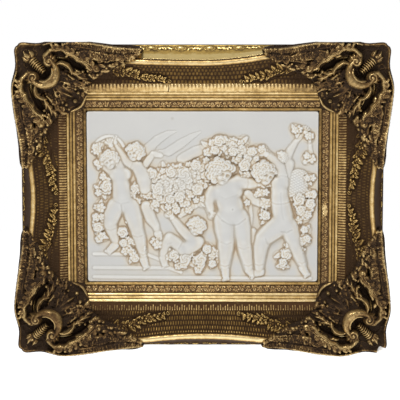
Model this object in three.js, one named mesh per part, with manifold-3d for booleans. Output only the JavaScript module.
// Framed bas-relief: a cast white plaque of putti and garlands in a deep carved gilt frame.
// Sizes are millimetres. The panel is drawn facing the viewer, x to the right, y up and z towards the
// viewer with the wall at z = 0, around the middle of the sight opening. The last group stands it upright.
import * as THREE from 'three';
import { mergeVertices } from 'three/addons/utils/BufferGeometryUtils.js';
import { ConvexGeometry } from 'three/addons/geometries/ConvexGeometry.js';
import { ParametricGeometry } from 'three/addons/geometries/ParametricGeometry.js';
import Module from 'manifold-3d';

const wasm = await Module();
wasm.setup();

// Sight opening and the depth behind its edge
const sightWidth = 394;
const sightHeight = 294;
const rebateDepth = 14;
const rebateWidth = 7;
const lipDepth = 14;

// Bands of the moulding from the sight edge outwards: how wide each is and how far it rises
const lipWidth = 4;
const lipChamfer = 1.5;
const carvedWidth = 13;
const carvedDrop = 3.5;
const carvedRise = 6;
const reedCount = 3;
const reedWidth = 5;
const reedStep = 2;
const reedRound = 2.4;
const tipWidth = 14;
const tipRise = 4.5;
const tipRound = 1.5;
const coveWidth = 35;
const coveRise = 15;
const coveSag = 5;
const rodDiameter = 12;
const rodSides = 4;
const edgeWidth = 17;
const edgeHeight = 20;
const edgeSag = 4;
// How far the rods swing out from mid-rail to their ends, and how the top one stands at its left end,
// middle and right end
const longBow = 8;
const shortBow = 4.5;
const topLeftBow = -3.5;
const topMiddleBow = -5.5;
const topRightBow = 5.5;
const rodStations = 3;

// Oval beads on the outer edge of each rail
const beadLength = 17;
const beadWidth = 7;
const beadPitch = 42;

// Corner ornaments
const ornamentStand = 17;
const ornamentCover = 5;
const ornamentBack = 8;
const chipSpot = [106, 116, 32];
const chipRadius = 8;
const fit = 0.3;

// Plaque, board and hanger
const plaqueThickness = 12;
const plaqueGap = 1;
const plaqueCornerRadius = 5;
const boardThickness = 4;
const boardGap = 1;
const ledgeRise = 3;
const leafRise = 4;
const roseRise = 8;
// How thick heads and limbs are against their width, and how deep every raised form is rooted
const headFlatness = 0.58;
const limbFlatness = 0.5;
const rooting = 1;
const hangerLength = 46;
const hangerHeight = 12;
const hangerThickness = 1.2;
const hangerTeeth = 7;
const hangerToothDepth = 2;
const hangerSeat = 1.6;
const nailPocketDepth = 3.6;

// Heights and offsets that follow from the bands
const lipTop = rebateDepth + lipDepth;
const carvedEnd = lipWidth + carvedWidth;
const reedBase = lipTop - carvedDrop + carvedRise;
const reedEnd = carvedEnd + reedCount * reedWidth;
const tipBase = reedBase + reedCount * reedStep;
const tipEnd = reedEnd + tipWidth;
const tipTop = tipBase + tipRise;
const coveEnd = tipEnd + coveWidth;
const rodAxisHeight = tipTop + coveRise;
const rodRadius = rodDiameter / 2;
const rodCrest = rodAxisHeight + rodRadius;
const rodEnd = coveEnd + rodDiameter;
const railWidth = rodEnd + edgeWidth;
const halfWidth = sightWidth / 2;
const halfHeight = sightHeight / 2;
const hangerDrop = railWidth / 2;

// The corner design is drawn in hundredths of the rail's width from the sight corner outwards
const cornerUnit = railWidth / 100;
const ornamentReach = 82 * cornerUnit;
const upperBows = [topLeftBow, topMiddleBow, topRightBow];
const bottomBows = [longBow, 0, longBow];
const sideBows = [shortBow, 0, shortBow];

// Turns a closed geometry into a solid, leaving out the empty triangles at its poles
function solid(geometry) {
  const bare = geometry.clone();
  bare.deleteAttribute('normal');
  bare.deleteAttribute('uv');
  const merged = mergeVertices(bare, 1e-4);
  const corners = merged.index.array;
  const triangles = [];
  for (let i = 0; i < corners.length; i += 3) {
    const [a, b, c] = [corners[i], corners[i + 1], corners[i + 2]];
    if (a !== b && b !== c && c !== a) triangles.push(a, b, c);
  }
  return new wasm.Manifold(new wasm.Mesh({
    numProp: 3,
    vertProperties: new Float32Array(merged.attributes.position.array),
    triVerts: Uint32Array.from(triangles),
  }));
}

function geometryOf(body) {
  const mesh = body.getMesh();
  const geometry = new THREE.BufferGeometry();
  geometry.setAttribute('position', new THREE.BufferAttribute(mesh.vertProperties, 3));
  geometry.setIndex(new THREE.BufferAttribute(mesh.triVerts, 1));
  geometry.computeVertexNormals();
  return geometry;
}

const joined = (first, ...others) => others.reduce((whole, next) => whole.add(next), first);

// A plate from a shape, lying between two heights
function plate(shape, low, high, curveSegments = 4) {
  const settings = { depth: high - low, bevelEnabled: false, curveSegments };
  const geometry = new THREE.ExtrudeGeometry(shape, settings);
  return solid(geometry.translate(0, 0, low));
}

function rectangle(width, height, radius = 0) {
  const [x, y] = [width / 2, height / 2];
  if (radius === 0) {
    return new THREE.Shape([[-x, -y], [x, -y], [x, y], [-x, y]].map(([a, b]) => new THREE.Vector2(a, b)));
  }
  const shape = new THREE.Shape();
  shape.moveTo(x, y - radius);
  shape.absarc(x - radius, y - radius, radius, 0, Math.PI / 2);
  shape.absarc(radius - x, y - radius, radius, Math.PI / 2, Math.PI);
  shape.absarc(radius - x, radius - y, radius, Math.PI, Math.PI * 1.5);
  shape.absarc(x - radius, radius - y, radius, Math.PI * 1.5, Math.PI * 2);
  return shape;
}

// A point on a curved band of the profile: between two ends, pushed off their chord by a sag
function arcPoints([d0, h0], [d1, h1], rise, count) {
  return Array.from({ length: count }, (_, i) => {
    const t = (i + 1) / (count + 1);
    return [d0 + (d1 - d0) * t, h0 + (h1 - h0) * t + rise * Math.sin(Math.PI * t)];
  });
}

// The moulding's section as [offset, height] from the sight edge outwards, then back along the wall
function mouldingSection() {
  const points = [[0, rebateDepth], [0, lipTop - lipChamfer], [lipChamfer, lipTop], [lipWidth, lipTop]];
  points.push([lipWidth, lipTop - carvedDrop], ...arcPoints([lipWidth, lipTop - carvedDrop],
    [carvedEnd, reedBase], 1, 1));
  for (let i = 0; i < reedCount; i += 1) {
    const start = [carvedEnd + i * reedWidth, reedBase + i * reedStep];
    const end = [start[0] + reedWidth, start[1] + reedStep];
    points.push(start, ...arcPoints(start, end, reedRound, 2));
  }
  points.push([reedEnd, tipBase]);
  points.push(...arcPoints([reedEnd, tipBase], [tipEnd, tipTop], tipRound, 1), [tipEnd, tipTop]);
  points.push(...arcPoints([tipEnd, tipTop], [coveEnd, rodAxisHeight], -coveSag, 2));
  for (let i = 0; i <= rodSides; i += 1) {
    const angle = Math.PI * (1 - i / rodSides);
    const offset = coveEnd + rodRadius * (1 + Math.cos(angle));
    points.push([offset, rodAxisHeight + rodRadius * Math.sin(angle)]);
  }
  const edgeTop = rodAxisHeight - rodRadius;
  points.push([rodEnd, edgeTop], ...arcPoints([rodEnd, edgeTop], [railWidth, edgeHeight], -edgeSag, 1));
  points.push([railWidth, edgeHeight], [railWidth, 0], [rebateWidth, 0], [rebateWidth, rebateDepth]);
  return points;
}

// A plain line that clears every crest of the moulding, for what lies over its corners. Its rim flares out
// beyond the moulding's edge and slants back to it at the wall.
function clearingSection(gap, cover, flare, rim) {
  const lift = gap + cover;
  return [
    [-gap, -gap],
    [-gap, lipTop + lift],
    [lipWidth, lipTop + lift],
    [reedEnd, tipBase + reedRound + lift],
    [coveEnd - gap, rodAxisHeight + lift],
    [coveEnd + 1, rodCrest + lift],
    [rodEnd - 1 + gap, rodCrest + lift],
    [railWidth + gap + flare, rim + lift],
    [railWidth + gap, -gap],
  ];
}

// How much of the bow a band takes: none at the tips, all of it at the rod, none at the outer edge
function bowShare(offset) {
  const share = Math.min((offset - tipEnd) / coveWidth, (railWidth - offset) / edgeWidth);
  return THREE.MathUtils.clamp(share, 0, 1);
}

// How far the rod of a rail stands out of line at a place from -1 at the rail's start to 1 at its end
function bowAt([start, middle, end], s) {
  return middle + ((s < 0 ? start : end) - middle) * s * s;
}

// Sweeps a closed section round the sight opening, mitred at the corners. The rods and the bands beside
// them swing out towards their ends, while the tips and the outer edge run straight. The top rod sags
// inwards and swings out at one end only.
function ring(section, stationsPerRod, topBows) {
  const rails = [
    { normal: [0, 1], along: [1, 0], half: halfWidth, out: halfHeight, bows: topBows },
    { normal: [1, 0], along: [0, -1], half: halfHeight, out: halfWidth, bows: sideBows },
    { normal: [0, -1], along: [-1, 0], half: halfWidth, out: halfHeight, bows: bottomBows },
    { normal: [-1, 0], along: [0, 1], half: halfHeight, out: halfWidth, bows: sideBows },
  ];
  const stations = [];
  for (const rail of rails) {
    stations.push({ rail, mitre: true, bow: shortBow });
    const reach = rail.half - ornamentReach;
    for (let i = 0; i <= stationsPerRod; i += 1) {
      const s = -1 + (2 * i) / stationsPerRod;
      stations.push({ rail, mitre: false, place: s * reach, bow: bowAt(rail.bows, s) });
    }
  }
  const place = (u, v, target) => {
    const { rail, mitre, place: s, bow } = stations[Math.round(u * stations.length) % stations.length];
    const [offset, height] = section[Math.round(v * section.length) % section.length];
    const d = offset + bowShare(offset) * bow;
    const along = mitre ? -(rail.half + d) : s;
    target.set(
      rail.normal[0] * (rail.out + d) + rail.along[0] * along,
      rail.normal[1] * (rail.out + d) + rail.along[1] * along,
      height,
    );
  };
  return solid(new ParametricGeometry(place, stations.length, section.length));
}

// A low dome of few sides over a spot: its top, a ring round its shoulder and a ring at its foot
function domePoints([x, y, radius], height, thickness, foot, sides) {
  const points = [new THREE.Vector3(x, y, height + thickness)];
  for (let i = 0; i < sides; i += 1) {
    const [across, up] = [Math.cos((2 * Math.PI * i) / sides), Math.sin((2 * Math.PI * i) / sides)];
    const [dx, dy] = [across * radius, up * radius];
    points.push(new THREE.Vector3(x + dx * 0.75, y + dy * 0.75, height + thickness * 0.68));
    points.push(new THREE.Vector3(x + dx, y + dy, foot));
  }
  return points;
}

// A low faceted mound that comes to a point, for a mass of leaves
function mound([x, y, radius], top, foot, sides) {
  const ring = Array.from({ length: sides }, (_, i) => {
    const angle = (2 * Math.PI * i) / sides;
    return new THREE.Vector3(x + radius * Math.cos(angle), y + radius * Math.sin(angle), foot);
  });
  return solid(new ConvexGeometry([new THREE.Vector3(x, y, top), ...ring]));
}

const dome = (spot, height, thickness, foot, sides = 6) => (
  solid(new ConvexGeometry(domePoints(spot, height, thickness, foot, sides)))
);

// A pointed leaf with a raised ridge, from its root to its tip
function leaf([x0, y0, h0], [x1, y1, h1], halfSpan, ridge) {
  const length = Math.hypot(x1 - x0, y1 - y0);
  const side = [-(y1 - y0) / length, (x1 - x0) / length];
  const spot = (t, across, height) => new THREE.Vector3(
    x0 + (x1 - x0) * t + side[0] * across,
    y0 + (y1 - y0) * t + side[1] * across,
    h0 + (h1 - h0) * t + height,
  );
  return solid(new ConvexGeometry([
    spot(0, halfSpan * 0.5, 0), spot(0, -halfSpan * 0.5, 0), spot(0.1, 0, ridge * 0.7),
    spot(0.45, halfSpan, 0), spot(0.45, -halfSpan, 0), spot(0.55, 0, ridge),
    spot(1, 0, ridge * 0.3), spot(0.5, 0, -ridge * 2), spot(0, 0, -ridge * 2),
  ]));
}

// A scroll of rounded section along a smooth curve, swelling from a point at each end
function scroll(points, halfSpan, thickness, steps, sides) {
  const curve = new THREE.CatmullRomCurve3(points.map(([x, y, h]) => new THREE.Vector3(x, y, h)));
  const place = (u, v, target) => {
    const t = THREE.MathUtils.clamp(u, 0, 1);
    const middle = curve.getPoint(t);
    const tangent = curve.getTangent(t);
    const length = Math.hypot(tangent.x, tangent.y);
    const swell = t < 1e-3 || t > 1 - 1e-3 ? 0 : Math.sin(Math.PI * t) ** 0.5;
    const angle = 2 * Math.PI * (Math.round(v * sides) % sides) / sides;
    const across = halfSpan * swell * Math.cos(angle);
    target.set(
      middle.x + (tangent.y / length) * across,
      middle.y - (tangent.x / length) * across,
      middle.z + thickness * swell * Math.sin(angle),
    );
  };
  return solid(new ParametricGeometry(place, steps, sides));
}

// Gilt frame: the moulded ring, its beads and the seat and nail pocket for the hanger
function frameMoulding() {
  let body = ring(mouldingSection(), rodStations, upperBows);
  const beadShare = 0.35;
  const beadOffset = railWidth - edgeWidth * beadShare;
  const beadHeight = edgeHeight + (rodAxisHeight - rodRadius - edgeHeight) * beadShare - edgeSag;
  const sides = [
    [halfWidth, halfHeight, 0, [upperBows, bottomBows]],
    [halfHeight, halfWidth, Math.PI / 2, [sideBows, sideBows]],
  ];
  for (const [half, out, turn, [farBows, nearBows]] of sides) {
    const count = Math.floor((2 * (half - ornamentReach)) / beadPitch);
    for (let i = 0; i < count; i += 1) {
      const along = (i - (count - 1) / 2) * beadPitch;
      const s = along / (half - ornamentReach);
      for (const [side, bows] of [[1, farBows], [-1, nearBows]]) {
        const bow = bowShare(beadOffset) * bowAt(bows, s);
        const bead = new THREE.SphereGeometry(1, 6, 3).rotateX(Math.PI / 2);
        bead.scale(beadLength / 2, beadWidth / 2, beadWidth / 2);
        bead.translate(along, side * (out + beadOffset + bow), beadHeight);
        body = body.add(solid(bead.rotateZ(turn)));
      }
    }
  }
  const hangerY = halfHeight + hangerDrop;
  const seat = plate(rectangle(hangerLength + 2 * fit, hangerHeight + 2 * fit), -1, hangerSeat);
  const pocket = plate(rectangle(hangerLength * 0.66, hangerHeight * 1.5), -1, nailPocketDepth);
  const cut = geometryOf(seat.add(pocket)).translate(0, hangerY, 0);
  return geometryOf(body.subtract(solid(cut)));
}

// One corner ornament, drawn at the top right. Its design is alike on both sides of the diagonal, and it is
// bedded on rods that swing by the amounts given.
function cornerOrnament(topBows) {
  const spot = (u, v, height) => [halfWidth + u * cornerUnit, halfHeight + v * cornerUnit, height];
  const crest = rodCrest + ornamentStand;
  const flip = (points) => points.map(([u, v, height]) => [v, u, height]);
  const bothSides = (make) => [make((points) => points), make(flip)];
  const drawn = (points) => points.map(([u, v, height]) => spot(u, v, height));

  // Outline of half the ornament: inner edge from the sight corner out, then the outer edge back
  const innerEdge = [[-4, 27], [-11, 44], [-27, 56], [-52, 66], [-86, 88]];
  const outerEdge = [[-82, 98], [-45, 102], [14, 109], [41, 110.5], [69, 104.5], [94, 105.5], [101, 101]];
  const half = [[2, 2], ...innerEdge, ...outerEdge];
  const mirror = half.slice(1, -1).reverse().map(([u, v]) => [v, u]);
  const outline = new THREE.Shape([...half, ...mirror].reverse().map(([u, v]) => {
    const [x, y] = spot(u, v, 0);
    return new THREE.Vector2(x, y);
  }));
  const flare = 13 * cornerUnit;
  const skin = ring(clearingSection(fit, ornamentCover, flare, rodCrest), rodStations, topBows);
  let body = plate(outline, ornamentBack, crest).intersect(skin);

  // Deep almond hollows between the outer and the thin inner scroll
  const hollow = [[42, 90, 0], [8, 103, 0], [-22, 88, 0], [12, 76, 0]];
  for (const points of [hollow, flip(hollow)]) {
    const [a, b, c, d] = drawn(points).map(([x, y]) => new THREE.Vector2(x, y));
    const almond = new THREE.Shape();
    almond.moveTo(a.x, a.y);
    almond.quadraticCurveTo(b.x, b.y, c.x, c.y);
    almond.quadraticCurveTo(d.x, d.y, a.x, a.y);
    body = body.subtract(plate(almond, 0, crest + 1, 2));
  }

  // Shell boss on the diagonal, cupped by the broad crescent
  const bossSpot = spot(67, 67, 0);
  const boss = [bossSpot[0], bossSpot[1], 14 * cornerUnit];
  body = body.add(dome(boss, rodCrest, ornamentStand, rodAxisHeight, 8));
  const crescent = Array.from({ length: 7 }, (_, i) => {
    const angle = THREE.MathUtils.degToRad(-25 - (220 * i) / 6);
    const height = rodCrest - 1 + 4 * Math.sin((Math.PI * i) / 6);
    return spot(65 + 22 * Math.cos(angle), 65 + 22 * Math.sin(angle), height);
  });
  body = body.add(scroll(crescent, 6.5 * cornerUnit, ornamentStand * 0.75, 6, 5));

  const mirrored = bothSides((turned) => {
    const pieces = [];
    const [volute] = drawn(turned([[55, 85, 0]]));
    const eye = [volute[0], volute[1], 8 * cornerUnit];
    pieces.push(dome(eye, rodCrest - 2, ornamentStand * 0.7, rodAxisHeight, 5));
    pieces.push(scroll(drawn(turned([
      [58, 92, rodCrest + 3], [40, 102, rodCrest + 5], [12, 103, rodCrest + 4], [-20, 99, rodCrest + 3],
      [-50, 93, rodCrest + 2], [-80, 86, rodCrest + 1],
    ])), 8 * cornerUnit, ornamentStand * 0.8, 5, 4));
    pieces.push(scroll(drawn(turned([
      [50, 84, rodCrest], [30, 78, rodCrest - 3], [4, 66, rodCrest - 5], [-18, 66, rodCrest - 5],
      [-38, 82, rodCrest - 4],
    ])), 3.6 * cornerUnit, ornamentStand * 0.55, 4, 4));

    // Leaf fan at the rod's end, and lobes out to the extreme corner
    for (const [tipU, tipV] of [[-82, 97], [-76, 78]]) {
      const [root, tip] = drawn(turned([[-44, 88, rodCrest + 4], [tipU, tipV, rodCrest + 3]]));
      pieces.push(leaf(root, tip, 5 * cornerUnit, 5));
    }
    const [lobeRoot, lobeTip] = drawn(turned([[74, 82, rodCrest + 5], [86, 106, rodCrest + 3]]));
    pieces.push(leaf(lobeRoot, lobeTip, 8 * cornerUnit, 6));

    // Side leaves of the palmette that points at the sight corner, and a small curl over the reeds
    for (const [tipU, tipV, rise] of [[5, 20, 0], [-8, 40, 2]]) {
      const ends = [[40, 50, rodCrest - 4], [tipU, tipV, lipTop + 2 * ornamentCover + rise]];
      const [root, tip] = drawn(turned(ends));
      pieces.push(leaf(root, tip, 5.5 * cornerUnit, 5));
    }
    const [curl] = drawn(turned([[-7, 33, 0]]));
    pieces.push(dome([curl[0], curl[1], 5 * cornerUnit], tipTop, 8, tipBase, 5));
    return joined(...pieces);
  });
  body = joined(body, ...mirrored);
  body = body.add(leaf(spot(46, 46, rodCrest - 4), spot(5, 5, lipTop + ornamentCover), 6 * cornerUnit, 6));
  body = body.add(leaf(spot(78, 78, rodCrest + 5), spot(101, 101, rodCrest + 2), 9 * cornerUnit, 6));

  // The casting is bedded over the moulding and ends a little off the wall
  body = body.subtract(ring(clearingSection(fit, 0, 0, edgeHeight), rodStations, topBows));
  const below = plate(rectangle(4 * sightWidth, 4 * sightHeight), -rodCrest, ornamentBack);
  body = body.subtract(below);
  return geometryOf(body).translate(-halfWidth, -halfHeight, 0);
}

// The same ornament with its outer corner knocked off
function chippedOrnament(whole) {
  const bite = solid(new THREE.IcosahedronGeometry(chipRadius).translate(...chipSpot));
  return geometryOf(solid(whole).subtract(bite));
}

// Mirrors a geometry into another corner, keeping its faces outwards
function turnedTo(geometry, right, up) {
  const copy = geometry.clone().scale(right, up, 1);
  if (right * up < 0) {
    const corners = copy.index.array;
    for (let i = 0; i < corners.length; i += 3) {
      [corners[i], corners[i + 1]] = [corners[i + 1], corners[i]];
    }
  }
  copy.computeVertexNormals();
  return copy;
}

// The relief's composition, in hundredths of its width from its middle: x, y and radius.
// Each limb is a chain of joints; lift says how far a figure stands off the ground, and face is the
// way its head looks.
const figures = {
  thrownBack: {
    lift: 0.5,
    head: [-40.2, 16.3, 3.7],
    face: [-0.6, 0.8],
    torso: [[-36.5, 9.5, 3.2], [-35.8, 5, 3.9], [-35.2, 0.5, 4.3], [-34.5, -3.5, 4.3]],
    limbs: [
      [[-36, 12, 1.7], [-37, 16.5, 1.5], [-39.5, 21.5, 1.1]],
      [[-39.5, 10.5, 1.7], [-43, 14, 1.4], [-45, 20.5, 1]],
      [[-37.5, -4, 3.5], [-41, -11.5, 2.9], [-38, -19, 1.6], [-39.2, -23.2, 1.6]],
      [[-31.5, -4, 3.5], [-29.5, -13.5, 2.9], [-26, -25, 1.7], [-25.4, -29.2, 1.8]],
    ],
  },
  behindLeft: {
    lift: 0,
    head: [-29.3, 19.8, 3.5],
    face: [-0.7, 0.2],
    torso: [[-27.5, 13.5, 2.4], [-25, 8.5, 3]],
    limbs: [
      [[-27.5, 12.5, 2], [-33.5, 15.5, 1.9], [-37.7, 23, 1.2]],
      [[-24, -5.5, 2.6], [-22.2, -10.5, 1.9], [-19.5, -16, 1.2]],
    ],
  },
  centre: {
    lift: 0.8,
    head: [7.6, 10.8, 5.3],
    face: [0.6, -0.35],
    torso: [[10.3, 3.6, 5.2], [11.5, -1.2, 5.2], [12.8, -5.6, 5.5], [13.1, -9, 5.4]],
    limbs: [
      [[15.7, 6.7, 2.4], [19.3, 6, 2], [24, 5.8, 1.5]],
      [[4.6, 3.2, 2.3], [2.7, -1.2, 1.7], [5, -7.4, 1.3]],
      [[9.6, -9.6, 3.9], [10.5, -19, 3], [9.8, -29.3, 1.9], [10, -33, 2]],
      [[16.5, -9.6, 3.7], [18.3, -19.7, 2.9], [20.4, -29.3, 1.8], [21, -32.4, 1.8]],
    ],
  },
  turnedAway: {
    lift: 0.7,
    head: [26.8, 10.6, 4.7],
    face: [0.4, -0.7],
    torso: [[32.5, 5.4, 3.2], [33.6, 1, 3.9], [34.3, -3.4, 4.1], [35.4, -9, 5]],
    limbs: [
      [[35, 5.8, 2.6], [34, 12.4, 2.1], [28.6, 17.9, 1.5]],
      [[35, -11.3, 4.5], [26.2, -17.9, 3.3], [24.8, -29.8, 1.8], [21.8, -33.2, 1.4]],
      [[37, -12.6, 4.1], [39.7, -20.5, 2.7], [43.8, -29.3, 1.7], [44.6, -32.8, 1.9]],
    ],
  },
  reaching: {
    lift: 0,
    torso: [[35.4, 15.4, 2.6], [35.4, 11.9, 2.6]],
    limbs: [[[35.8, 16.8, 1.9], [38, 21.2, 1.6], [41.6, 25.8, 1], [44, 28.2, 1.2]]],
  },
  reclining: {
    lift: 0.2,
    head: [-2.7, -12.9, 3.5],
    face: [-0.5, -0.5],
    torso: [[-2, -20, 2.8], [-6.2, -22.7, 3]],
    limbs: [
      [[-2.7, -20, 2.3], [-7.5, -16, 2], [-12.5, -9.8, 1.4]],
      [[-8.8, -23.2, 2.2], [-14.4, -18, 1.9], [-17.2, -24, 1.8], [-16.8, -29.2, 2]],
    ],
  },
  flying: {
    lift: -0.2,
    torso: [[-21.8, 19.8, 2.2], [-16.6, 19.8, 2.2]],
    limbs: [
      [[-22.2, 22.5, 1.4], [-17, 27.7, 1.2], [-11.4, 28.6, 0.8]],
      [[-14, 21.2, 1.3], [-9.6, 25, 1.3], [0.3, 29.9, 0.8], [3.3, 30.5, 0.9]],
    ],
  },
};

// Masses of leaves and small flowers, and the larger roses on them
const foliage = [
  [-23.5, 4.5, 5], [-18.5, 5.5, 7.2], [-13, 6.5, 7.8], [-7, 7, 7.6], [-2, 9.5, 6.5], [2, 14, 3.5],
  [4.5, 21.5, 3], [9.5, 22.5, 4.3], [15.5, 21, 5], [20.5, 17, 5], [25.5, 19.5, 2.6],
  [-18.5, -1.5, 3], [-13, -4.5, 3.5], [-7, -3.5, 3], [-0.5, -1.5, 2.6],
  [-43.5, 3, 3], [-45, -5, 2.2], [-45.5, -13.5, 2.6], [-34, -19.5, 2.2], [-32, -24, 2],
  [-12.5, -25.5, 2.4], [-8.5, -29, 2.8], [-1.5, -29.8, 2.8], [4.2, -28.4, 2.4], [2.5, -22.7, 2.4],
  [42.3, -1, 2.8], [45.7, -4, 2.5], [44, -9, 2.5], [44.9, -14.8, 2.5], [44, -19.7, 2.2],
  [36.2, -26, 2.8], [35, -29.4, 2.2], [27.5, -2.5, 1.8], [26.5, -9, 2.4], [46, 18, 1.8], [40.3, 30, 2.2],
];
const roses = [
  [-7.7, 10, 2.7], [-2, 3.6, 2.4], [-19.2, 3.6, 2.6], [-10.3, 0, 2.4], [-22.2, 10.2, 2.3], [-2.7, 14.1, 2.3],
  [7, 24.7, 2.3], [13.3, 20.3, 2.1], [18.3, 14.1, 2.6], [-7.3, -27.4, 2.5], [-0.8, -27.3, 2.5],
  [-12.4, -25.4, 2.2], [42.3, -1, 2.7], [46.9, -3, 2.2], [42.9, -19.7, 2.1], [36.6, -24.9, 2.3],
  [-42.1, 4.9, 2.4], [-34.7, -15.7, 2.4],
];
// Strips of ground that the figures stand on: points along the top of each
const ledges = [
  [[-47.5, -24.6], [-33, -24.6], [-24, -24.8], [-18.7, -26.8]],
  [[-47.5, -30.6], [-15, -30.6], [-9.5, -32.4]],
  [[-47.5, -34.6], [47.5, -35.4]],
];
const drapery = [
  [[20.5, 1, 2], [25.7, -3, 1.6], [29.7, -2, 1.4]],
  [[18.5, 0, 1.6], [18.8, -8, 1.5], [19, -16, 1.2]],
  [[-25.6, 13, 1.6], [-21.7, 19, 1.4], [-18.3, 18.5, 1.2]],
  [[2.8, 1, 1.4], [5.5, -5.6, 1.4]],
];
const veilHoop = { centre: [-40.5, 21], radius: [6.4, 6], from: 25, to: 165, thickness: 0.8 };
const basket = { centre: [41.8, 6], halfSize: [4.7, 5.6], lean: -8, rise: 2.2 };

const plaqueWidth = sightWidth - 2 * plaqueGap;
const plaqueHeight = sightHeight - 2 * plaqueGap;
const plaqueTop = rebateDepth + plaqueThickness;
const shareUnit = Math.min(plaqueWidth, (plaqueHeight * 4) / 3) / 100;

function reliefPlaque() {
  let body = plate(rectangle(plaqueWidth, plaqueHeight, plaqueCornerRadius), rebateDepth, plaqueTop);
  const foot = plaqueTop - rooting;
  const scaled = ([x, y, radius]) => [x * shareUnit, y * shareUnit, radius * shareUnit];

  // A run of limb from joint to joint, each stretch the hull of the domes at its two ends
  const limb = (joints, lift, sides = 5) => {
    const height = plaqueTop + lift * shareUnit;
    const domes = joints.map((joint) => {
      const [x, y, radius] = scaled(joint);
      return domePoints([x, y, radius], height, radius * limbFlatness, foot, sides);
    });
    const stretches = domes.slice(1).map((next, i) => solid(new ConvexGeometry([...domes[i], ...next])));
    return joined(...stretches);
  };

  for (const mass of foliage) {
    body = body.add(mound(scaled(mass), plaqueTop + leafRise + mass[2] * 0.6, foot, 5));
  }
  for (const rose of roses) {
    body = body.add(dome(scaled(rose), plaqueTop, roseRise + rose[2] * 0.6, foot, 4));
  }
  for (const strip of ledges) {
    const outline = strip.map(([x, y]) => new THREE.Vector2(x * shareUnit, y * shareUnit));
    const lower = ({ x, y }) => new THREE.Vector2(x, y - 1.5 * shareUnit);
    const under = outline.slice().reverse().map(lower);
    body = body.add(plate(new THREE.Shape([...outline, ...under]), foot, plaqueTop + ledgeRise));
  }
  for (const fold of drapery) {
    body = body.add(limb(fold, 0.2, 4));
  }
  const hoop = Array.from({ length: 6 }, (_, i) => {
    const angle = THREE.MathUtils.degToRad(veilHoop.from + ((veilHoop.to - veilHoop.from) * i) / 5);
    return [
      veilHoop.centre[0] + veilHoop.radius[0] * Math.cos(angle),
      veilHoop.centre[1] + veilHoop.radius[1] * Math.sin(angle),
      veilHoop.thickness,
    ];
  });
  body = body.add(limb(hoop, 0.1, 4));

  const [basketX, basketY] = scaled([...basket.centre, 0]);
  const [basketHalfWidth, basketHalfHeight] = scaled([...basket.halfSize, 0]);
  const side = rectangle(2 * basketHalfWidth, 2 * basketHalfHeight, basketHalfWidth * 0.6);
  const wicker = geometryOf(plate(side, foot, plaqueTop + basket.rise * shareUnit));
  wicker.rotateZ(THREE.MathUtils.degToRad(basket.lean)).translate(basketX, basketY, 0);
  body = body.add(solid(wicker));

  for (const figure of Object.values(figures)) {
    body = body.add(limb(figure.torso, figure.lift + 0.2, 5));
    for (const joints of figure.limbs) {
      body = body.add(limb(joints, figure.lift));
    }
    if (figure.head) {
      const height = plaqueTop + (figure.lift + 0.4) * shareUnit;
      body = body.add(head(scaled(figure.head), figure.face, height, foot));
    }
  }
  return geometryOf(body);
}

// A head with hair curls round its crown and a small nose on the side it looks to
function head([x, y, radius], [lookX, lookY], height, foot) {
  const thickness = radius * headFlatness;
  const away = Math.atan2(-lookY, -lookX);
  const curls = [-75, -25, 25, 75].map((turn) => {
    const angle = away + THREE.MathUtils.degToRad(turn);
    const spot = [x + radius * 0.78 * Math.cos(angle), y + radius * 0.78 * Math.sin(angle), radius * 0.38];
    return dome(spot, height + thickness * 0.3, thickness * 0.5, foot, 4);
  });
  const nose = leaf(
    [x + lookX * radius * 0.1, y + (lookY * 0.1 + 0.25) * radius, height + thickness * 0.72],
    [x + lookX * radius * 0.4, y + (lookY * 0.4 - 0.25) * radius, height + thickness * 0.76],
    radius * 0.16,
    radius * 0.14,
  );
  return joined(dome([x, y, radius], height, thickness, foot, 7), ...curls, nose);
}

function backingBoard() {
  const width = sightWidth + 2 * rebateWidth - 2 * boardGap;
  const height = sightHeight + 2 * rebateWidth - 2 * boardGap;
  const front = rebateDepth - fit;
  return geometryOf(plate(rectangle(width, height), front - boardThickness, front));
}

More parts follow.
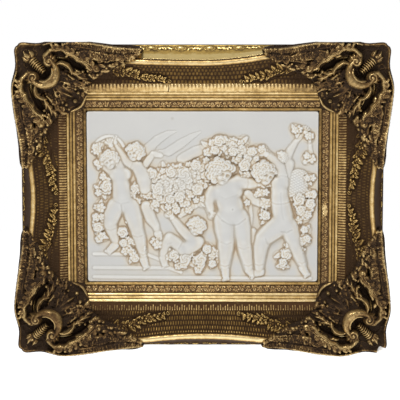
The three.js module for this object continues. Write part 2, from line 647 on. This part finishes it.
// Sawtooth plate let into the frame's back, with its teeth down
function hanger() {
  const shape = new THREE.Shape();
  const [x, y] = [hangerLength / 2, hangerHeight / 2];
  shape.moveTo(-x, y);
  shape.lineTo(-x, -y);
  const toothedHalf = hangerLength * 0.3;
  const pitch = (2 * toothedHalf) / hangerTeeth;
  for (let i = 0; i < hangerTeeth; i += 1) {
    shape.lineTo(-toothedHalf + i * pitch, -y);
    shape.lineTo(-toothedHalf + (i + 0.5) * pitch, -y + hangerToothDepth);
  }
  shape.lineTo(toothedHalf, -y);
  shape.lineTo(x, -y);
  shape.lineTo(x, y);
  shape.closePath();
  return geometryOf(plate(shape, 0, hangerThickness));
}

function finish(color, roughness, metalness = 0) {
  return new THREE.MeshStandardMaterial({ color, roughness, metalness, flatShading: true });
}
const panel = new THREE.Group();

function addPiece(name, geometry, material, x = 0, y = 0) {
  const piece = new THREE.Mesh(geometry, material);
  piece.name = name;
  piece.position.set(x, y, 0);
  panel.add(piece);
}

addPiece('frame_moulding', frameMoulding(), finish(0xc79a4a, 0.42, 0.75));
const lower = cornerOrnament(bottomBows);
const castings = {
  top_left: cornerOrnament([...upperBows].reverse()),
  top_right: cornerOrnament(upperBows),
  bottom_left: lower,
  bottom_right: chippedOrnament(lower),
};
for (const [up, vertical] of [[1, 'top'], [-1, 'bottom']]) {
  for (const [right, side] of [[-1, 'left'], [1, 'right']]) {
    const place = `${vertical}_${side}`;
    const material = finish(0xa97f3a, 0.48, 0.75);
    const casting = turnedTo(castings[place], right, up);
    addPiece(`corner_ornament_${place}`, casting, material, right * halfWidth, up * halfHeight);
  }
}
addPiece('relief_plaque', reliefPlaque(), finish(0xdcd8cf, 0.6));
addPiece('backing_board', backingBoard(), finish(0x8a6a48, 0.85));
addPiece('hanger', hanger(), finish(0x9a9a98, 0.4, 0.9), 0, halfHeight + hangerDrop);

// Stand the panel up with its front to -Y and the mount on the back of the top rail at the origin
panel.rotation.x = Math.PI / 2;
panel.position.z = -(halfHeight + hangerDrop);
const group = new THREE.Group();
group.add(panel);
export default group;
